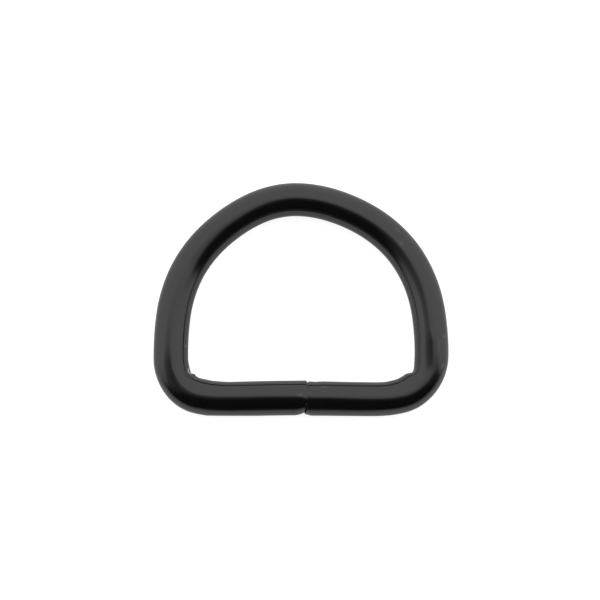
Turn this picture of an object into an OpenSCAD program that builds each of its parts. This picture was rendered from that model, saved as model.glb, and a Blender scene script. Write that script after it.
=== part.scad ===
// D ring for a strap: one length of round wire bent to a D and left unwelded, with a glossy black coat.
// It lies on its side. The straight bar runs along X at the front, the arch points to +Y, and the
// lowest line of the wire is on z = 0. The origin is below the middle of the outline. Millimetres.
//
// The bends are arcs of the wire's centre line. Their headings are in degrees, counted from the
// crown's top down each side, so the widest place is at 90 and the bar is at 180.

/* [Opening] */
// Clear width between the two sides, for a strap of the same width
inner_w = 20; // [16:0.5:23]
// Clear height between the bar and the crown
inner_h = 15; // [14:0.5:24]

/* [Wire] */
// Diameter of the wire with its coat
wire_d = 3; // [2:0.1:4]

/* [Crown] */
// Bend radius of the crown
crown_r = 9; // [7:0.5:12]
// How far the crown bend runs down to the left of its top
crown_turn_left = 23; // [5:1:40]
// How far the crown bend runs down to the right of its top
crown_turn_right = 2.5; // [1:0.5:40]
// How far left of the middle the crown's top is
crown_shift = 0.4; // [-1.5:0.1:1.5]

/* [Sides] */
// Heading at which the arch ends and the straighter side begins
side_from = 84; // [76:1:86]
// Heading at which the side ends and the corner begins
side_to = 92; // [91:0.5:97]

/* [Corners] */
// Bend radius of the left corner
corner_left_r = 3.6; // [2.6:0.1:5]
// Bend radius of the right corner
corner_right_r = 4; // [2.6:0.1:5]
// Depth of the crease that the bend pinches into the left inner corner
crease_left = 0.15; // [0.05:0.05:0.5]
// Depth of the crease in the right inner corner
crease_right = 0.35; // [0.05:0.05:0.5]
// Heading of the bottom of both creases
crease_at = 124; // [115:1:150]
// How far a crease opens at the wire's surface, each way from its bottom
crease_spread = 12; // [6:1:16]

/* [Joint] */
// Clear gap between the two butted wire ends
joint_gap = 0.05; // [0.02:0.01:0.5]
// How far right of the middle the joint is
joint_shift = 0.5; // [-3:0.1:3]
// Bevel round the rim of each wire end
end_bevel = 0.12; // [0.05:0.01:0.4]
// How deep shearing has rounded off the ends on the ring's outer side
shear_depth = 0.2; // [0.1:0.05:0.8]
// How far along the wire the left end is rounded off
shear_left = 1.1; // [0.4:0.1:2]
// How far along the wire the right end is rounded off
shear_right = 0.9; // [0.4:0.1:2]

/* [Hidden] */
$fn = 96;
LEFT = -1;
RIGHT = 1;
BAR = 180;
wire_r = wire_d / 2;
// Centre line from the bar to the crown's top
path_h = inner_h + wire_d;
bar_y = -path_h / 2;
crown_centre = [-crown_shift, path_h / 2 - crown_r];
// How far the cutters reach past the wire that they cut
past = 1;

function crown_turn(s) = s == LEFT ? crown_turn_left : crown_turn_right;
function corner_r(s) = s == LEFT ? corner_left_r : corner_right_r;
function crease(s) = s == LEFT ? crease_left : crease_right;

// Direction from a bend's centre to the wire at a heading, on side s
function out(s, heading) = [s * sin(heading), cos(heading)];

// Width and height that the crown and the corner leave for the arch and the side
function room_w(s) = inner_w / 2 + wire_r + s * crown_shift - crown_r * sin(crown_turn(s));
function room_h(s) = path_h - crown_r * (1 - cos(crown_turn(s))) - corner_r(s) * (1 + cos(side_to));

// What each millimetre of radius takes of that room, for the arch and for the side. The side is
// widest at heading 90. Two equations in two radii follow, which the next functions solve.
function arch_w(s) = sin(side_from) - sin(crown_turn(s));
function arch_h(s) = cos(crown_turn(s)) - cos(side_from);
side_w = 1 - sin(side_from);
side_h = cos(side_from) - cos(side_to);
function scale_of(s) = arch_w(s) * side_h - arch_h(s) * side_w;
function arch_r(s) = (room_w(s) * side_h - room_h(s) * side_w) / scale_of(s);
function side_r(s) = (room_h(s) * arch_w(s) - room_w(s) * arch_h(s)) / scale_of(s);

// Each bend's centre lies on the line from the last bend's centre to the point where they meet
function arch_centre(s) = crown_centre + (crown_r - arch_r(s)) * out(s, crown_turn(s));
function side_centre(s) = arch_centre(s) + (arch_r(s) - side_r(s)) * out(s, side_from);
function corner_centre(s) = side_centre(s) + (side_r(s) - corner_r(s)) * out(s, side_to);

// Moves by v in two steps, whole micrometres and then the rest. A step keeps six digits, so this
// keeps more of them, and the flat ends of two bends that meet lie on one another.
module move(v) {
    whole = [for (x = v) round(x * 1000) / 1000];
    translate(whole)
        translate(v - whole)
            children();
}

// Wire bent round a centre, through turn degrees from the direction start
module bend(centre, r, turn, start) {
    move([centre.x, centre.y, wire_r])
        rotate_extrude(angle = turn, start = start)
            move([r, 0, 0])
                circle(d = wire_d);
}

// The same between two headings on side s
module side_bend(s, centre, r, from, to) {
    bend(centre, r, to - from, s == RIGHT ? 90 - to : 90 + from);
}

// Crown bend, which is one arc across both sides
module crown() {
    bend(crown_centre, crown_r, crown_turn_left + crown_turn_right, 90 - crown_turn_right);
}

// Half of the bar on side s, from its corner to its bevelled end at the joint
module bar(s) {
    length = abs(corner_centre(s).x - joint_shift) - joint_gap / 2;
    move([corner_centre(s).x, bar_y, wire_r])
        rotate([0, -90 * s, 0]) {
            cylinder(h = length - end_bevel, r = wire_r);
            translate([0, 0, length - end_bevel])
                cylinder(h = end_bevel, r1 = wire_r, r2 = wire_r - end_bevel);
        }
}

// All of the wire on side s, from the crown down to the joint
module half(s) {
    side_bend(s, arch_centre(s), arch_r(s), crown_turn(s), side_from);
    side_bend(s, side_centre(s), side_r(s), side_from, side_to);
    side_bend(s, corner_centre(s), corner_r(s), side_to, BAR);
    bar(s);
}

// Cutter for the crease: a wedge whose edge stands upright in the inner face of the corner. It
// opens as far again inside the bend as it goes deep into the wire.
module crease_cut(s) {
    inner_r = corner_r(s) - wire_r;
    mouth_r = inner_r - crease(s);
    translate([corner_centre(s).x, corner_centre(s).y, -past])
        linear_extrude(wire_d + 2 * past)
            polygon([
                (inner_r + crease(s)) * out(s, crease_at),
                mouth_r * out(s, crease_at - 2 * crease_spread),
                mouth_r * out(s, crease_at + 2 * crease_spread),
            ]);
}

// Cutter for the rounded-off ends: a wedge under both, on the ring's outer side
module shear_cut() {
    outer_y = bar_y - wire_r;
    translate([joint_shift, outer_y, -past])
        linear_extrude(wire_d + 2 * past)
            polygon([
                [0, shear_depth],
                [-shear_left * (1 + past / shear_depth), -past],
                [shear_right * (1 + past / shear_depth), -past],
            ]);
}

module ring() {
    color([0.1, 0.1, 0.1])
        difference() {
            union() {
                crown();
                half(LEFT);
                half(RIGHT);
            }
            crease_cut(LEFT);
            crease_cut(RIGHT);
            shear_cut();
        }
}

ring();
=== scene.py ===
# %% [markdown]
# # A black D ring
# The ring is a strap fitting about as wide as a thumb: one length of steel wire, bent to a D, cut off
# where its ends meet in the middle of the straight bar, and dipped in a glossy black coat. A shape
# this plain lives from two things. Its outline has to be the real one, with bends that differ a
# little from side to side, and its reflections have to come from a believable studio. So this lesson
# builds the wire as a wire, puts the marks of the bending tools on it, and then lights it.
#
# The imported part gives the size. Everything below is in metres and in its frame: the bar runs along
# X, the crown of the arch points to +Y, and the ring lies on the plane z = 0.

# %% Load the measured part
import math

import bmesh
import bpy
import numpy as np
from mathutils import Matrix, Vector


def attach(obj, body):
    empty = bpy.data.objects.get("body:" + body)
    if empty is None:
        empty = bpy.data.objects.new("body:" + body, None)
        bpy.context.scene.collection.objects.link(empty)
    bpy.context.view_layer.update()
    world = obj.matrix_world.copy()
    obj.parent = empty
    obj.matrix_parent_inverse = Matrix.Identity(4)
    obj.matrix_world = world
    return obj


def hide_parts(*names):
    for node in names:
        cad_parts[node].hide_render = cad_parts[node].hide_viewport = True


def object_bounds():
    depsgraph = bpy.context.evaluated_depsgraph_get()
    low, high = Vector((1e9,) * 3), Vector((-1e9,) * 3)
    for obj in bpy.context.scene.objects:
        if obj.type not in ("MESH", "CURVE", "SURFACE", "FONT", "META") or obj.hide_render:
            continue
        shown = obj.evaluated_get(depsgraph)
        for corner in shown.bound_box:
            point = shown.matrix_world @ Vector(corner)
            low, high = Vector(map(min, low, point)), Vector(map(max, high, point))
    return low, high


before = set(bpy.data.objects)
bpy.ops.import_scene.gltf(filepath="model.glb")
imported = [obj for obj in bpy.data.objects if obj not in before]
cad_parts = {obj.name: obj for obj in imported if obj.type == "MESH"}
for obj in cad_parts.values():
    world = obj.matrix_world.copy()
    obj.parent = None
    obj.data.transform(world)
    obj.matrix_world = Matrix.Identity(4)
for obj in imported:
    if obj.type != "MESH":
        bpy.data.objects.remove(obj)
MM = 0.001
DEGREE = math.pi / 180
cad_low, cad_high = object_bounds()
print("size of the part in mm:", [round(v / MM, 3) for v in cad_high - cad_low])

# %% [markdown]
# ## The centre line of the wire
# Real wire is bent by rolling it round pins, so its centre line is a chain of arcs, each starting in
# the direction in which the last one ends. One could draw such a line by hand with Bezier handles,
# but arcs with named radii are easier to check against the part, and a reader can change one. Two of
# the radii on each side aren't free: the arch and the side have to fill the width and height that
# the crown and the corner leave. That gives two equations in two unknowns, solved here.

# %% Sizes of the bends
LEFT, RIGHT = -1, 1
wire_d = cad_high.z - cad_low.z
wire_r = wire_d / 2
inner_w = cad_high.x - cad_low.x - 2 * wire_d
inner_h = cad_high.y - cad_low.y - 2 * wire_d
path_h = inner_h + wire_d
bar_y = -path_h / 2
crown_r = 9 * MM
crown_shift = 0.4 * MM
crown_turn = {LEFT: 23 * DEGREE, RIGHT: 2.5 * DEGREE}
corner_r = {LEFT: 3.6 * MM, RIGHT: 4 * MM}
side_from = 84 * DEGREE
side_to = 92 * DEGREE
joint_x = 0.5 * MM
opening = [round(v / MM, 2) for v in (inner_w, inner_h)]
print("wire", round(wire_d / MM, 3), "mm, opening", opening[0], "by", opening[1], "mm")


# %% Centres and radii of the bends
def out(side, heading):
    """Direction from a bend's centre to the wire, at a heading counted from the crown's top."""
    return np.array([side * math.sin(heading), math.cos(heading)])


def bends(side):
    """Centre and radius of the arch, the side and the corner on one side of the ring."""
    turn = crown_turn[side]
    room_w = inner_w / 2 + wire_r + side * crown_shift - crown_r * math.sin(turn)
    room_h = path_h - crown_r * (1 - math.cos(turn)) - corner_r[side] * (1 + math.cos(side_to))
    shares = [
        [math.sin(side_from) - math.sin(turn), 1 - math.sin(side_from)],
        [math.cos(turn) - math.cos(side_from), math.cos(side_from) - math.cos(side_to)],
    ]
    arch_r, side_r = np.linalg.solve(shares, [room_w, room_h])
    arch = crown_centre + (crown_r - arch_r) * out(side, turn)
    flank = arch + (arch_r - side_r) * out(side, side_from)
    corner = flank + (side_r - corner_r[side]) * out(side, side_to)
    return {"arch": (arch, arch_r), "side": (flank, side_r), "corner": (corner, corner_r[side])}


crown_centre = np.array([-crown_shift, path_h / 2 - crown_r])
bend = {side: bends(side) for side in (LEFT, RIGHT)}
for side, name in ((LEFT, "left"), (RIGHT, "right")):
    print(name, {part: round(float(radius) / MM, 2) for part, (centre, radius) in bend[side].items()})

# %% [markdown]
# ## Points along the centre line
# The line starts at the joint, runs right along the bar and goes round the ring once. Points lie
# closer together where the wire has small marks, at the joint and in the two corners, and further
# apart on the long plain bends. Each stretch knows how full the coated wire is there: in the picture
# the left side is a few hundredths of a millimetre wider than the crown, probably because the
# bending jig pressed it flat.

# %% Stretches of the centre line
joint_reach = 1.6 * MM
step_at_joint = 0.02 * MM
step_in_corner = 0.055 * MM
step_elsewhere = 0.12 * MM
full_crown, full_left, full_right = 1.0, 1.02, 1.0


def straight(x_from, x_to, step, full_from, full_to):
    """Points along the bar, each with its fullness, without the last one."""
    count = max(2, round(abs(x_to - x_from) / step))
    share = np.arange(count) / count
    xs = x_from + (x_to - x_from) * share
    return np.column_stack([xs, np.full(count, bar_y), full_from + (full_to - full_from) * share])


def bent(side, centre, radius, start, end, step, full_from, full_to):
    """Points along one bend from one heading to another, without the last one."""
    count = max(2, round(abs(end - start) * radius / step))
    share = np.arange(count) / count
    places = [centre + radius * out(side, start + (end - start) * s) for s in share]
    return np.column_stack([places, full_from + (full_to - full_from) * share])


def half_ring(side, full):
    """Corner, side and arch of one side, in the order that leads up from the bar."""
    corner, flank, arch = (bend[side][part] for part in ("corner", "side", "arch"))
    return [
        bent(side, *corner, math.pi, side_to, step_in_corner, full, full),
        bent(side, *flank, side_to, side_from, step_elsewhere, full, full),
        bent(side, *arch, side_from, crown_turn[side], step_elsewhere, full, full_crown),
    ]


def backwards(stretches):
    """The same stretches walked the other way."""
    return [stretch[::-1] for stretch in stretches[::-1]]


corner_x = {side: bend[side]["corner"][0][0] for side in (LEFT, RIGHT)}
crown_run = bent(
    RIGHT, crown_centre, crown_r, crown_turn[RIGHT], -crown_turn[LEFT], step_elsewhere, full_crown, full_crown
)
right_bar = [
    straight(joint_x, joint_x + joint_reach, step_at_joint, full_right, full_right),
    straight(joint_x + joint_reach, corner_x[RIGHT], step_elsewhere, full_right, full_right),
]
left_bar = [
    straight(joint_x, joint_x - joint_reach, step_at_joint, full_left, full_left),
    straight(joint_x - joint_reach, corner_x[LEFT], step_elsewhere, full_left, full_left),
]
right_half = right_bar + half_ring(RIGHT, full_right)
left_half = left_bar + half_ring(LEFT, full_left)
left_half[0] = left_half[0][1:]
points = np.vstack(right_half + [crown_run] + backwards(left_half))
print("points on the centre line:", len(points))

# %% [markdown]
# ## A curve that carries the fullness
# A curve object is the natural carrier: each of its points has a radius, which here isn't a size but
# the fullness just worked out. The curve is closed, because the coat bridges the joint. It only
# guides the wire and is removed later.


# %% Make the guide curve
def guide_curve(points):
    """A closed curve through the points, whose point radius is the wire's fullness."""
    data = bpy.data.curves.new("centre_line", "CURVE")
    data.dimensions = "3D"
    spline = data.splines.new("POLY")
    spline.points.add(len(points) - 1)
    for point, (x, y, full) in zip(spline.points, points):
        point.co = (x, y, wire_r, 1)
        point.radius = full
    spline.use_cyclic_u = True
    made = bpy.data.objects.new("centre_line", data)
    bpy.context.scene.collection.objects.link(made)
    return made


guide = guide_curve(points)
print("guide curve:", len(guide.data.splines[0].points), "points, closed")

# %% [markdown]
# ## The wire as Geometry Nodes
# Drawn wire is one round section carried along a line, which is what Curve to Mesh does. The node
# tree takes the guide, the wire's radius and the number of sides as named inputs, so that a thicker
# wire is one changed number. A plain Bevel on the curve would give the same tube, but the tree can
# also store, on each vertex, where it sits on the wire: how far along, on which centre point, and in
# which direction the wire runs there. The marks of the tools are placed with those three later.
#
# Where the wire is fuller it is only wider, not taller, as pressed wire is. The last node before the
# finish moves the surface in by a few thousandths of a millimetre with a noise, because a dipped coat
# is never as even as a turned bar. It shows as a slight wander in the edges of the reflections.


# %% Helpers for node trees
def put(tree, kind, values, **settings):
    """Adds a node. Values go to sockets by index or name, and another node's socket is linked."""
    node = tree.nodes.new(kind)
    for name, value in settings.items():
        setattr(node, name, value)
    for key, value in values.items():
        if isinstance(value, bpy.types.NodeSocket):
            tree.links.new(value, node.inputs[key])
        else:
            node.inputs[key].default_value = value
    return node


def calc(tree, operation, *values):
    """A Math node's result."""
    return put(tree, "ShaderNodeMath", dict(enumerate(values)), operation=operation).outputs[0]


def stored(tree, geometry, name, kind, value):
    """Stores a value on every point under a name."""
    values = {"Geometry": geometry, "Name": name, "Value": value}
    return put(tree, "GeometryNodeStoreNamedAttribute", values, data_type=kind, domain="POINT").outputs[0]


# %% The tree that draws the wire
WIRE_INPUTS = {
    "Centre Line": "NodeSocketObject",
    "Wire Radius": "NodeSocketFloat",
    "Sides Round": "NodeSocketInt",
    "Coat Ripple": "NodeSocketFloat",
    "Ripple Scale": "NodeSocketFloat",
    "Finish": "NodeSocketMaterial",
}


def wire_tree():
    """Geometry Nodes that carry a round section along the guide curve."""
    tree = bpy.data.node_groups.new("drawn_wire", "GeometryNodeTree")
    for name, kind in WIRE_INPUTS.items():
        tree.interface.new_socket(name, in_out="INPUT", socket_type=kind)
    tree.interface.new_socket("Geometry", in_out="OUTPUT", socket_type="NodeSocketGeometry")
    given = tree.nodes.new("NodeGroupInput").outputs
    place = tree.nodes.new("GeometryNodeInputPosition").outputs[0]
    full = tree.nodes.new("GeometryNodeInputRadius").outputs[0]
    tangent = tree.nodes.new("GeometryNodeInputTangent").outputs[0]
    run = tree.nodes.new("GeometryNodeSplineParameter").outputs["Length"]

    line = put(tree, "GeometryNodeObjectInfo", {"Object": given["Centre Line"]}).outputs["Geometry"]
    line = put(tree, "GeometryNodeSetCurveNormal", {"Curve": line}, mode="Z_UP").outputs[0]
    line = stored(tree, line, "along", "FLOAT", run)
    line = stored(tree, line, "axis", "FLOAT_VECTOR", place)
    line = stored(tree, line, "runs", "FLOAT_VECTOR", tangent)
    line = stored(tree, line, "full", "FLOAT", full)
    section = {"Resolution": given["Sides Round"], "Radius": given["Wire Radius"]}
    section = put(tree, "GeometryNodeCurvePrimitiveCircle", section).outputs[0]
    sweep = {"Curve": line, "Profile Curve": section, "Scale": full}
    wire = put(tree, "GeometryNodeCurveToMesh", sweep).outputs[0]

    kept = put(tree, "GeometryNodeInputNamedAttribute", {"Name": "full"}, data_type="FLOAT").outputs[0]
    xyz = put(tree, "ShaderNodeSeparateXYZ", {0: place}).outputs
    above = calc(tree, "SUBTRACT", xyz["Z"], given["Wire Radius"])
    height = calc(tree, "ADD", given["Wire Radius"], calc(tree, "DIVIDE", above, kept))
    pressed = put(tree, "ShaderNodeCombineXYZ", {"X": xyz["X"], "Y": xyz["Y"], "Z": height}).outputs[0]
    wire = put(tree, "GeometryNodeSetPosition", {"Geometry": wire, "Position": pressed}).outputs[0]

    ripple = put(tree, "ShaderNodeTexNoise", {"Scale": given["Ripple Scale"], "Detail": 2.0}).outputs[0]
    depth = calc(tree, "MULTIPLY", calc(tree, "MULTIPLY", ripple, given["Coat Ripple"]), -1.0)
    normal = tree.nodes.new("GeometryNodeInputNormal").outputs[0]
    inward = put(tree, "ShaderNodeVectorMath", {0: normal, "Scale": depth}, operation="SCALE").outputs[0]
    wire = put(tree, "GeometryNodeSetPosition", {"Geometry": wire, "Offset": inward}).outputs[0]

    wire = put(tree, "GeometryNodeSetShadeSmooth", {"Geometry": wire}).outputs[0]
    wire = put(tree, "GeometryNodeRealizeInstances", {"Geometry": wire}).outputs[0]
    finish = {"Geometry": wire, "Material": given["Finish"]}
    wire = put(tree, "GeometryNodeSetMaterial", finish).outputs[0]
    tree.links.new(wire, tree.nodes.new("NodeGroupOutput").inputs["Geometry"])
    return tree


drawn_wire = wire_tree()
print("wire tree:", len(drawn_wire.nodes), "nodes")

# %% [markdown]
# ## The black coat
# The finish is a hard glossy lacquer or dip, solid neutral black with no metal showing through. The
# base colour is nearly nothing, because a deep black gives back less than half a percent of the
# light, and all that the eye sees is the clear surface reflection of 4 percent face on and more at a
# glancing angle. Three things keep it from looking like computer plastic: the gloss varies a little,
# the surface has a fine orange peel, and a few grains of dust are buried under it. All three read
# the object's own coordinates, so they stay where they are from every side.
#
# Two vertex attributes change it in places. The first turns the coat into pale metal in spots, and
# the one named dull takes the gloss where the bend has crazed it.

# %% Gloss, peel and dust of the coat
coat_black = (0.0043, 0.0043, 0.0044, 1)
pale_metal_colour = (0.62, 0.61, 0.6, 1)
coat_ior = 1.5
gloss_low, gloss_high = 0.1, 0.16
gloss_cloud = 4 * MM
cloud_low, cloud_high = 0.35, 0.65
pale_metal_roughness, dull_roughness = 0.4, 0.45
peel_size = 0.55 * MM
peel_height = 0.0009 * MM
dust_apart = 1.7 * MM
dust_size = 0.05 * MM
dust_height = 0.012 * MM


def black_coat():
    """Glossy black lacquer with orange peel and dust, and pale metal in spots."""
    material = bpy.data.materials.new("black_coat")
    material.use_nodes = True
    tree = material.node_tree
    shader = tree.nodes["Principled BSDF"]
    shader.inputs["IOR"].default_value = coat_ior
    own = tree.nodes.new("ShaderNodeTexCoord").outputs["Object"]
    pale_metal = put(tree, "ShaderNodeAttribute", {}, attribute_name="pale_metal").outputs["Fac"]
    dull = put(tree, "ShaderNodeAttribute", {}, attribute_name="dull").outputs["Fac"]

    # The Mix node has a pair of sockets for each kind of value, and 6 and 7 are its colours
    colour = put(tree, "ShaderNodeMix", {0: pale_metal, 6: coat_black, 7: pale_metal_colour}, data_type="RGBA")
    tree.links.new(colour.outputs[2], shader.inputs["Base Color"])
    tree.links.new(pale_metal, shader.inputs["Metallic"])

    cloud = {"Vector": own, "Scale": 1 / gloss_cloud, "Detail": 3.0}
    cloud = put(tree, "ShaderNodeTexNoise", cloud).outputs[0]
    levels = {0: cloud, 1: cloud_low, 2: cloud_high, 3: gloss_low, 4: gloss_high}
    gloss = put(tree, "ShaderNodeMapRange", levels).outputs[0]
    rough = calc(tree, "MULTIPLY_ADD", pale_metal, pale_metal_roughness - gloss_low, gloss)
    rough = calc(tree, "MULTIPLY_ADD", dull, dull_roughness - gloss_low, rough)
    tree.links.new(rough, shader.inputs["Roughness"])

    peel = put(tree, "ShaderNodeTexNoise", {"Vector": own, "Scale": 1 / peel_size, "Detail": 1.0}).outputs[0]
    peel = calc(tree, "MULTIPLY", peel, peel_height)
    grains = put(tree, "ShaderNodeTexVoronoi", {"Vector": own, "Scale": 1 / dust_apart}).outputs["Distance"]
    near = {0: grains, 1: 0.0, 2: dust_size / dust_apart, 3: dust_height, 4: 0.0}
    dust = put(tree, "ShaderNodeMapRange", near, interpolation_type="SMOOTHSTEP").outputs[0]
    height = calc(tree, "ADD", peel, dust)
    bump = put(tree, "ShaderNodeBump", {"Height": height, "Distance": 1.0, "Strength": 1.0}).outputs[0]
    tree.links.new(bump, shader.inputs["Normal"])
    return material


coat = black_coat()
print("coat:", len(coat.node_tree.nodes), "nodes")

# %% [markdown]
# ## Draw the wire
# The tree runs on an empty mesh object. Its inputs are set by each socket's identifier, which stays
# the same when a socket is renamed, and before the object is evaluated for the first time. The
# result is then copied to a plain mesh, because the marks below move single vertices, and because an
# exported model can't hold a modifier.

# %% Run the tree and keep its mesh
sides_round = 96
coat_ripple = 0.006 * MM
ripple_scale = 1 / (2.2 * MM)


def drawn(name, tree, values):
    """Runs a tree with named inputs and returns its result as an object with a plain mesh."""
    made = bpy.data.objects.new(name, bpy.data.meshes.new(name))
    bpy.context.scene.collection.objects.link(made)
    modifier = made.modifiers.new(name, "NODES")
    modifier.node_group = tree
    sockets = {s.name: s.identifier for s in tree.interface.items_tree if s.in_out == "INPUT"}
    for key, value in values.items():
        modifier[sockets[key]] = value
    graph = bpy.context.evaluated_depsgraph_get()
    mesh = bpy.data.meshes.new_from_object(made.evaluated_get(graph))
    made.modifiers.remove(modifier)
    made.data = mesh
    mesh.name = name
    return made


wire_values = {
    "Centre Line": guide,
    "Wire Radius": wire_r,
    "Sides Round": sides_round,
    "Coat Ripple": coat_ripple,
    "Ripple Scale": ripple_scale,
    "Finish": coat,
}
ring = drawn("coated_wire", drawn_wire, wire_values)
bpy.data.objects.remove(guide)
print("wire:", len(ring.data.vertices), "vertices,", len(ring.data.polygons), "faces")

# %% [markdown]
# ## Where each vertex sits on the wire
# A mark on a wire is easiest to describe from the wire itself: so far along, and so far round. Round
# is counted here in degrees from the inner side, which faces the opening: 90 is the top, 180 the
# outer side and -90 the underside. The attributes stored by the tree give both.


# %% Read the places from the mesh
def read(mesh, name, width):
    """One stored attribute as an array."""
    values = np.zeros(len(mesh.vertices) * width)
    mesh.attributes[name].data.foreach_get("value" if width == 1 else "vector", values)
    return values if width == 1 else values.reshape(-1, width)


mesh = ring.data
co = np.zeros(len(mesh.vertices) * 3)
mesh.vertices.foreach_get("co", co)
co = co.reshape(-1, 3)
axis = read(mesh, "axis", 3)
runs = read(mesh, "runs", 3)
along = read(mesh, "along", 1)
whole = along.max()
along = np.where(along > whole / 2, along - whole, along)
inward = np.cross([0, 0, 1], runs)
outwards = co - axis
inner_side = (outwards * inward).sum(1)
around = np.degrees(np.arctan2(outwards[:, 2], inner_side))
outwards /= np.linalg.norm(outwards, axis=1)[:, None]
print("wire length:", round(whole / MM, 2), "mm")


# %% [markdown]
# ## Shapes for the marks
# Each mark is a depth, taken off along the wire's own radius. It is a product of two simple shapes:
# how it falls off along the wire, and how it falls off round it. A sculpting brush would do the same
# by hand, but formulas give the same ring each time.


# %% Falloffs along and round the wire
def patch(middle, reach):
    """1 at a place round the wire, falling smoothly to 0 at reach degrees from it."""
    gap = np.abs((around - middle + 180) % 360 - 180)
    return np.cos(np.clip(gap / reach, 0, 1) * math.pi / 2) ** 2


def slope(distance, reach, power):
    """1 at distance 0, falling to 0 at reach, and 0 on the far side of it."""
    share = np.clip(1 - distance / reach, 0, 1)
    return np.where(distance < 0, 0, share**power)


def dimple(distance, reach):
    """A smooth hollow or hump, gone at about twice its reach."""
    return np.exp(-((distance / reach) ** 2))


INNER, TOP, OUTER, UNDER = 0, 90, 180, -90
depth = np.zeros(len(co))
shift = np.zeros(len(co))
pale_metal = np.zeros(len(co))

# %% [markdown]
# ## The joint
# Shears cut the wire from its outer side, so both ends are rounded off there, the left one over a
# longer stretch. Between them stays a dark crack, which the coat couldn't fill. On the inner side
# the ends meet in a small V, and over the top the coat bridges the joint and leaves a hairline. The
# line leans a little, and the left end was set less than a tenth of a millimetre further in than
# the right one.

# %% Cut and close the joint
joint_lean = 0.056
joint_tilt = 0.056
joint_offset = 0.05 * MM
end_set_in = 0.08 * MM
end_bend_from = 5.8 * MM
bridge = 0.06 * MM
below_top = wire_d - co[:, 2]
from_joint = along - joint_offset - joint_lean * inner_side + joint_tilt * below_top
left_of, right_of = -from_joint, from_joint

bent_in = np.clip(1 + along / end_bend_from, 0, 1) ** 2
shift += end_set_in * bent_in / (1 + np.exp(from_joint / bridge * 2))

crack = np.clip(3 * patch(150, 38), 0, 1)
# Each line is a depth, how it falls off along the wire, and where it lies round the wire
depth += 0.25 * MM * slope(left_of, 1.0 * MM, 2) * patch(OUTER, 62)
depth += 0.18 * MM * slope(right_of, 0.8 * MM, 2.4) * patch(OUTER, 42)
depth += 0.5 * MM * dimple(from_joint, 0.038 * MM) * crack
depth += 0.03 * MM * slope(left_of, 0.25 * MM, 2.2) * patch(INNER, 60)
depth += 0.13 * MM * dimple(from_joint, 0.05 * MM) * patch(INNER, 50)
depth += 0.03 * MM * dimple(right_of - 0.75 * MM, 0.3 * MM) * patch(INNER, 70)
depth += 0.03 * MM * dimple(from_joint, 0.05 * MM) * patch(50, 42)
depth += 0.04 * MM * slope(left_of, 0.4 * MM, 1) * patch(84, 24)
depth += 0.02 * MM * slope(right_of, 0.15 * MM, 1) * patch(84, 24)
depth += 0.3 * MM * dimple(from_joint, 0.04 * MM) * patch(UNDER, 80)
print("deepest cut at the joint:", round(depth.max() / MM, 2), "mm")

# %% [markdown]
# ## Where the bends wander
# A ring bent on a jig and squeezed shut is never made of perfect arcs. Seen against the picture, the
# line stands a few hundredths of a millimetre further out or in over stretches of a few millimetres.
# Each row of the table is one such soft wave.

# %% Waves of the centre line
# Distance from the joint and reach of the wave, then how far out it stands, all in millimetres
WAVES = {
    LEFT: [
        (2.5, 2, -0.03), (7.4, 2, 0.03), (9, 0.7, -0.05),
        (10.7, 1.3, 0.05), (22, 2, 0.02), (27.6, 2.8, -0.06),
    ],
    RIGHT: [
        (1.5, 2, -0.02), (7.7, 1, -0.09), (12.5, 2, 0.02),
        (17.3, 2, -0.03), (22.8, 2, 0.03), (29.2, 3, -0.09),
    ],
}
for side, rows in WAVES.items():
    for distance, reach, outward in rows:
        shift -= outward * MM * dimple(side * along - distance * MM, reach * MM)
print("waves:", sum(len(rows) for rows in WAVES.values()))

# %% [markdown]
# ## Pressed tops
# The jig's top plate has pressed the wire a little flat where the sides go into the corners, most on
# the right. The dip is too shallow to be seen as one, but a mirror shows a slope of a few degrees
# at once: the top leans to the viewer just behind the corner and so shows the dark opening of the
# tent as a streak. Between that dip and the arch the right side has kept a faint ridge. A sharper
# top shrinks what it mirrors, so the ridge keeps the streak narrow. The tables give the depth on top
# by distance from the joint, where a minus stands for a hump.

# %% Dips along the tops of the sides
outer_reach = 82
inner_fall = 1.3
table_soft = 0.5
# Distance from the joint, then depth, both in millimetres
PRESSED = {
    LEFT: [(8, 0), (11.6, 0.09), (14, 0), (22.5, 0.12), (28, 0)],
    RIGHT: [(3, 0), (11.5, 0.205), (14.8, 0)],
}
RIDGE = [(12, 0), (12.9, -0.025), (16, -0.025), (18.5, 0)]
ridge_at, ridge_reach = 96, 24


def eased(side, rows, soft_over):
    """Depth by distance from the joint, from a table whose corners are rounded over a length."""
    places, depths = np.array(rows).T
    distance = side * along / MM
    steps = [np.interp(distance + soft_over * k, places, depths) for k in (-1, -0.5, 0, 0.5, 1)]
    return np.mean(steps, axis=0) * MM


on_inner_half = np.clip(np.sin(around * DEGREE), 0, 1) ** inner_fall
on_top = np.where(around < TOP, on_inner_half, patch(TOP, outer_reach))
for side, rows in PRESSED.items():
    depth += eased(side, rows, table_soft) * on_top
depth += eased(RIGHT, RIDGE, table_soft) * patch(ridge_at, ridge_reach)
print("deepest dip:", max(row[1] for rows in PRESSED.values() for row in rows), "mm")

# %% [markdown]
# ## Stretched flanks
# A bend stretches the outer side of the wire, and the flank below the black band goes a little
# flatter there, which lifts the band's lower edge. On the right the plate has also left a faint
# shoulder where the corner begins. The band ends at it with a round tip, and without it the band
# would fade out along the side. Both tables go by distance from the joint again.

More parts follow.
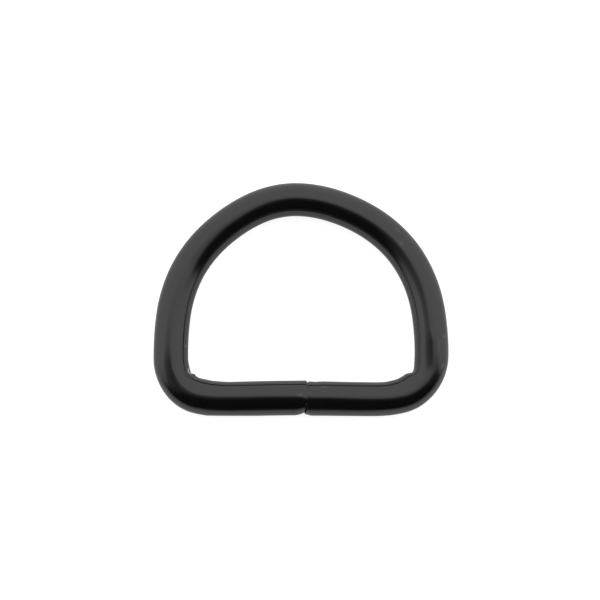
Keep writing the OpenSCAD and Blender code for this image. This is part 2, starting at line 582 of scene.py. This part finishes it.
# %% Flanks outside the corners
flank_at, flank_reach = 157, 30
shoulder_at, shoulder_reach = 128, 38
shoulder_soft = 0.25
STRETCHED = {
    LEFT: [(7, 0), (8.5, 0.018), (12, 0.018), (13.5, 0)],
    RIGHT: [(4.5, 0), (7, 0.035), (11.5, 0.035), (12.8, 0)],
}
SHOULDER = [(11, 0), (11.85, -0.04), (14.6, 0)]
for side, rows in STRETCHED.items():
    depth += eased(side, rows, table_soft) * patch(flank_at, flank_reach)
depth += eased(RIGHT, SHOULDER, shoulder_soft) * patch(shoulder_at, shoulder_reach)
print("shoulder:", -min(row[1] for row in SHOULDER), "mm high")

# %% [markdown]
# ## The corners
# Bending round a pin much thinner than the wire squeezes its inner side together. On the right it
# has folded to a crease with a hump before the bar. On the left the crease is shallow, and the
# hump runs on along the bar. The table gives the depth by heading, and a short average rounds it.

# %% Creases and humps inside the corners
# Heading in degrees, and depth into the wire in millimetres, where a minus is a hump
PINCHED = {
    LEFT: [
        (107, 0), (121, 0.08), (126, 0.13), (134, 0.02),
        (158, -0.09), (180, -0.06), (203, 0.03), (240, 0),
    ],
    RIGHT: [
        (98, 0), (107, 0.07), (114.5, 0.18), (124, 0.33), (135, -0.06),
        (150, -0.08), (166, -0.02), (182, 0.02), (200, 0.01), (215, 0),
        (238, -0.01), (262, -0.03), (279, -0.02), (281, 0),
    ],
}
rounding = 2.5
pinch_reach = 65
bar_run = {LEFT: joint_x - corner_x[LEFT], RIGHT: corner_x[RIGHT] - joint_x}


def corner_heading(side):
    """Heading in degrees of each vertex, as if the corner's bend went on into the bar and the side."""
    past_bar = side * along - bar_run[side]
    return 180 - np.degrees(past_bar / corner_r[side])


for side, rows in PINCHED.items():
    table_headings, table_depths = np.array(rows).T
    heading = corner_heading(side)
    steps = [np.interp(heading + rounding * k, table_headings, table_depths) for k in (-1, 0, 1)]
    depth += np.mean(steps, axis=0) * MM * patch(INNER, pinch_reach)
print("corners pinched:", len(PINCHED))

# %% [markdown]
# ## A pale spot and a few specks
# Inside the left corner the coat turns to a narrow pale metal spot with a rim, and a dark burr lies
# beside it, in a coat that has gone dull round them. Above it the coat ran down and set a little
# flatter, which widens the dark line that the other side of the ring draws there. The rest are specks
# of dust and rubbed spots, none longer than about a millimetre.
#
# Each is a dimple or a hump in the surface or a value in one of two attributes. The first tells the
# coat where it turns to pale metal or is dusty, and the one named dull where its gloss is lost.


# %% Spots on the wire
def spot(side, distance, middle, reach_along, reach_round):
    """How close each vertex is to a spot, 1 at its middle. Lengths are in millimetres."""
    gap_along = side * along - distance * MM
    gap_round = ((around - middle + 180) % 360 - 180) * DEGREE * wire_r
    return dimple(gap_along, reach_along * MM) * dimple(gap_round, reach_round * MM)


rim_deep, pale_spot_high, burr_high = 0.05, 0.07, 0.1
run_deep = 0.0035 * MM
pale_from, pale_sharp = 0.3, 3
worn_dull = 0.4
# Distance from the joint, degrees round, reach along and round
pale_spot_parts = [(11.55, 21, 0.2, 0.11), (11.9, 27, 0.3, 0.08), (12.2, 22, 0.15, 0.06)]
pale_spot = np.max([spot(LEFT, *flake) for flake in pale_spot_parts], axis=0)
rim = spot(LEFT, 11.8, 24, 0.62, 0.2)
burr = spot(LEFT, 11.1, 12, 0.22, 0.14)
depth += (rim_deep * rim - pale_spot_high * pale_spot - burr_high * burr) * MM
depth += run_deep * spot(LEFT, 15.5, 40, 3, 0.16)
# The middle of the spot turns the coat to pale metal
pale_metal += np.clip((pale_spot - pale_from) * pale_sharp, 0, 1)
dull = spot(LEFT, 11.5, 46, 0.7, 0.35) + worn_dull * spot(RIGHT, 14.5, 37, 3.5, 0.25)

# Side, distance from the joint, degrees round, reach along and round, and how pale it is
SPECKS = [
    (LEFT, 14.95, 26, 0.12, 0.1, 0.18),
    (LEFT, 34.62, 110, 0.1, 0.08, 0.12),
    (LEFT, 0.53, 86, 0.22, 0.1, 0.08),
    (RIGHT, 1.5, 52, 0.3, 0.07, 0.06),
    (RIGHT, 12.33, 132, 0.13, 0.1, 0.09),
    (RIGHT, 13.83, 110, 0.42, 0.04, 0.07),
    (RIGHT, 14.65, 134, 0.1, 0.1, 0.12),
    (RIGHT, 23.47, 92, 0.16, 0.14, 0.06),
    (RIGHT, 24.7, 117, 0.28, 0.06, 0.06),
]
for side, distance, middle, reach_along, reach_round, pale in SPECKS:
    pale_metal += pale * spot(side, distance, middle, reach_along, reach_round)
print("chipped vertices:", int((pale_metal > 0.5).sum()), "and specks:", len(SPECKS))

# %% [markdown]
# ## Put the marks on the mesh
# All depths are taken off at once along each vertex's own radius. Nothing may stand out of the
# measured part, so vertices stop at its box. The stored places have done their work, and only the
# two attributes for the coat are kept.


# %% Move the vertices
def write_marks():
    """Moves every vertex by its depth and shift, and keeps the mesh inside the measured box."""
    moved = co - outwards * depth[:, None] + inward * shift[:, None]
    moved = np.clip(moved, np.array(cad_low), np.array(cad_high))
    mesh.vertices.foreach_set("co", moved.ravel())
    for name in ("along", "axis", "runs", "full"):
        mesh.attributes.remove(mesh.attributes[name])
    for name, values in (("pale_metal", pale_metal), ("dull", dull)):
        mesh.attributes.new(name, "FLOAT", "POINT").data.foreach_set("value", values)
    mesh.update()
    return np.linalg.norm(moved - co, axis=1)


moved_by = write_marks()
print("vertices moved more than a hundredth of a millimetre:", int((moved_by > 0.01 * MM).sum()))

# %% Check that the mesh is closed and faces outwards
shape = bmesh.new()
shape.from_mesh(mesh)
if shape.calc_volume(signed=True) < 0:
    bmesh.ops.reverse_faces(shape, faces=shape.faces)
    shape.to_mesh(mesh)
open_edges = sum(not edge.is_manifold for edge in shape.edges)
print("open edges:", open_edges, "volume in mm3:", round(shape.calc_volume() / MM**3, 1))
shape.free()

# %% Tell the frame what the wire stands for
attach(ring, "root")
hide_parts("ring")

# %% [markdown]
# ## The studio
# A glossy black ring shows nothing but its surroundings, so the light is a shape, not a strength. It
# lies in a tent of white cloth that is open towards the viewer: bright behind, beside and overhead,
# and dark from just in front of the zenith down to the near horizon. That opening makes the black
# band along the bar and the crown. Area lights could stand in for the cloth, but their straight
# edges would show as steps in the grey.
#
# So the tent is one dome whose brightness depends only on the direction, worked out from the object
# coordinates of its material. The cloth ends in two edges, one behind the other: a sharp one, and a
# soft one where less light comes through. Each edge is a Float Curve, the node for a line that no
# formula gives. It is read by x, from left to right, and gives how far back the edge lies there. Most
# points of both edges, and the levels beside them, weren't drawn by eye. They come from a fit of the
# tent's light to the picture's grey, rounded, and only the far right was given one by one.
#
# The floor below is a plate that glows, so that the ring casts almost no shadow. In reflections the
# lower half of the dome stands in for it, which also gives the grey rim under the black band.

# %% The cloth of the tent
white = (1, 1, 1, 1)
tent_r = 0.14
cloth_at_side, cloth_overhead = 1.38, 1.58
floor_at_horizon, floor_straight_down = 1.21, 0.45
sharp_share = 0.42
sharp_reach = 0.08
soft_reach, soft_reach_right = 0.32, 0.21
right_from, right_to = 0.3, 0.7
overhead_from = 0.95
horizon_soft = 0.05
front_floor_low, front_floor_high = -0.25, 0.235
# Points of the two edges. x goes from -1 at the left to 1, and y from the viewer at -1 to the back.
SHARP_EDGE = [
    (-1, -0.4), (-0.8, -0.36), (-0.66, 0.04), (-0.52, 0.14), (-0.14, 0.1),
    (0.06, -0.03), (0.25, -0.12), (0.55, -0.13), (0.72, -0.17), (0.86, -0.25), (1, -0.28),
]
SOFT_EDGE = [
    (-1, -0.35), (-0.66, -0.26), (-0.35, -0.02), (0, 0.03),
    (0.2, -0.06), (0.55, -0.08), (0.72, -0.15), (0.86, -0.26), (1, -0.3),
]


def ramp(tree, value, low, high, at_low, at_high):
    """A smooth step from one value to another."""
    values = {0: value, 1: low, 2: high, 3: at_low, 4: at_high}
    return put(tree, "ShaderNodeMapRange", values, interpolation_type="SMOOTHSTEP").outputs[0]


def mixed(tree, share, at_0, at_1):
    """Goes from one value to the other as share goes from 0 to 1."""
    return put(tree, "ShaderNodeMapRange", {0: share, 3: at_0, 4: at_1}).outputs[0]


def behind_edge(tree, x, y, edge):
    """How far a direction lies behind an edge that a Float Curve draws. Its field runs from 0 to 1."""
    across = calc(tree, "MULTIPLY_ADD", x, 0.5, 0.5)
    node = put(tree, "ShaderNodeFloatCurve", {"Value": across})
    line = node.mapping.curves[0]
    corners = [((at + 1) / 2, back + 0.5) for at, back in edge]
    line.points[0].location = corners[0]
    line.points[1].location = corners[-1]
    for corner in corners[1:-1]:
        line.points.new(*corner)
    node.mapping.update()
    return calc(tree, "SUBTRACT", y, calc(tree, "SUBTRACT", node.outputs[0], 0.5))


def tent_cloth():
    """Light that is bright all round but for an opening at the front, and dimmer from the floor."""
    material = bpy.data.materials.new("tent_cloth")
    material.use_nodes = True
    tree = material.node_tree
    tree.nodes.clear()
    own = tree.nodes.new("ShaderNodeTexCoord").outputs["Object"]
    to_tent = put(tree, "ShaderNodeVectorMath", {0: own}, operation="NORMALIZE").outputs[0]
    x, y, z = put(tree, "ShaderNodeSeparateXYZ", {0: to_tent}).outputs

    sharp = ramp(tree, behind_edge(tree, x, y, SHARP_EDGE), -sharp_reach, sharp_reach, 0.0, 1.0)
    reach = ramp(tree, x, right_from, right_to, soft_reach, soft_reach_right)
    soft = calc(tree, "DIVIDE", behind_edge(tree, x, y, SOFT_EDGE), reach)
    soft = ramp(tree, soft, -1.0, 1.0, 0.0, 1.0)
    cloth_here = mixed(tree, sharp_share, soft, sharp)
    brightness = ramp(tree, z, 0.0, overhead_from, cloth_at_side, cloth_overhead)
    cloth = calc(tree, "MULTIPLY", brightness, cloth_here)
    above = ramp(tree, z, -horizon_soft, horizon_soft, 0.0, 1.0)
    cloth = calc(tree, "MULTIPLY", cloth, above)

    floor_lit = mixed(tree, calc(tree, "MULTIPLY", z, -1.0), floor_at_horizon, floor_straight_down)
    in_front = ramp(tree, z, front_floor_low, front_floor_high, 1.0, 0.0)
    elsewhere = calc(tree, "MULTIPLY", cloth_here, calc(tree, "SUBTRACT", 1.0, above))
    floor_lit = calc(tree, "MULTIPLY", floor_lit, calc(tree, "MAXIMUM", in_front, elsewhere))

    strength = calc(tree, "MAXIMUM", cloth, floor_lit)
    glow = put(tree, "ShaderNodeEmission", {"Color": white, "Strength": strength}).outputs[0]
    output = tree.nodes.new("ShaderNodeOutputMaterial")
    tree.links.new(glow, output.inputs["Surface"])
    return material


# %% Tent and floor
floor_pale = (0.3, 0.3, 0.3, 1)
floor_glow = 0.9
floor_roughness = 0.8
floor_r = 0.999 * tent_r


def tent_dome():
    """A dome round the ring, seen by reflections and by the floor but not by the camera."""
    shape = bmesh.new()
    bmesh.ops.create_uvsphere(shape, u_segments=64, v_segments=32, radius=tent_r)
    data = bpy.data.meshes.new("light_tent")
    shape.to_mesh(data)
    shape.free()
    made = bpy.data.objects.new("light_tent", data)
    bpy.context.scene.collection.objects.link(made)
    data.materials.append(tent_cloth())
    made.visible_camera = False
    made.visible_shadow = False
    return made


def pale_floor():
    """A round plain floor that fills the tent."""
    shape = bmesh.new()
    bmesh.ops.create_circle(shape, cap_ends=True, segments=96, radius=floor_r)
    data = bpy.data.meshes.new("floor")
    shape.to_mesh(data)
    shape.free()
    made = bpy.data.objects.new("floor", data)
    bpy.context.scene.collection.objects.link(made)
    material = bpy.data.materials.new("pale_floor")
    material.use_nodes = True
    shader = material.node_tree.nodes["Principled BSDF"]
    shader.inputs["Base Color"].default_value = floor_pale
    shader.inputs["Roughness"].default_value = floor_roughness
    shader.inputs["Emission Color"].default_value = white
    shader.inputs["Emission Strength"].default_value = floor_glow
    data.materials.append(material)
    made.visible_glossy = False
    made.visible_shadow = False
    return made


tent_dome()
pale_floor()
backdrop = bpy.data.worlds.new("backdrop")
backdrop.use_nodes = True
backdrop.node_tree.nodes["Background"].inputs["Color"].default_value = white
bpy.context.scene.world = backdrop
bpy.context.scene.view_settings.view_transform = "Standard"
print("tent radius:", tent_r, "m")

# %% [markdown]
# ## Light for the floor
# The plate's own glow gives nine tenths of the white. The rest comes from the tent and from a round
# soft box overhead. Only that last tenth can be shaded, so the floor stays nearly white right up to
# the ring. The ring must not mirror the box, so it is hidden from reflections.

# %% Overhead soft box
softbox_size = 0.2
softbox_height = 0.18
softbox_power = 0.1
softbox = bpy.data.lights.new("soft_box", "AREA")
softbox.shape = "DISK"
softbox.size = softbox_size
softbox.energy = softbox_power
lamp = bpy.data.objects.new("soft_box", softbox)
lamp.location = (0, 0, softbox_height)
lamp.visible_glossy = False
lamp.visible_camera = False
bpy.context.scene.collection.objects.link(lamp)
print("soft box:", softbox_power, "W")

# %% [markdown]
# ## The camera
# The picture looks down on the ring from a little in front of it, at 80 degrees above the floor and
# from about 11 centimetres, with a short telephoto lens. The aim is off the middle of the ring by a
# fraction of a millimetre, as the picture's framing is.

# %% Place the camera
elevation = 80 * DEGREE
camera_away = 110 * MM
lens_mm = 74.2
sensor_mm = 36
nearest = 0.01
roll = 0.004
aim_off = (-0.12 * MM, -0.197 * MM)

ring_centre = Vector((0, 0, wire_r))
view_back = Vector((0, -math.cos(elevation), math.sin(elevation)))
view_up = Vector((0, math.sin(elevation), math.cos(elevation)))
aim = ring_centre + Vector((1, 0, 0)) * aim_off[0] + view_up * aim_off[1]

camera = bpy.data.objects.new("camera", bpy.data.cameras.new("camera"))
camera.data.lens = lens_mm
camera.data.sensor_width = sensor_mm
camera.data.clip_start = nearest
camera.location = aim + view_back * camera_away
camera.rotation_mode = "XYZ"
turned = Matrix.Rotation(math.pi / 2 - elevation, 3, "X") @ Matrix.Rotation(roll, 3, "Z")
camera.rotation_euler = turned.to_euler("XYZ")
bpy.context.scene.collection.objects.link(camera)
bpy.context.scene.camera = camera
print("camera at", [round(v, 4) for v in camera.location])
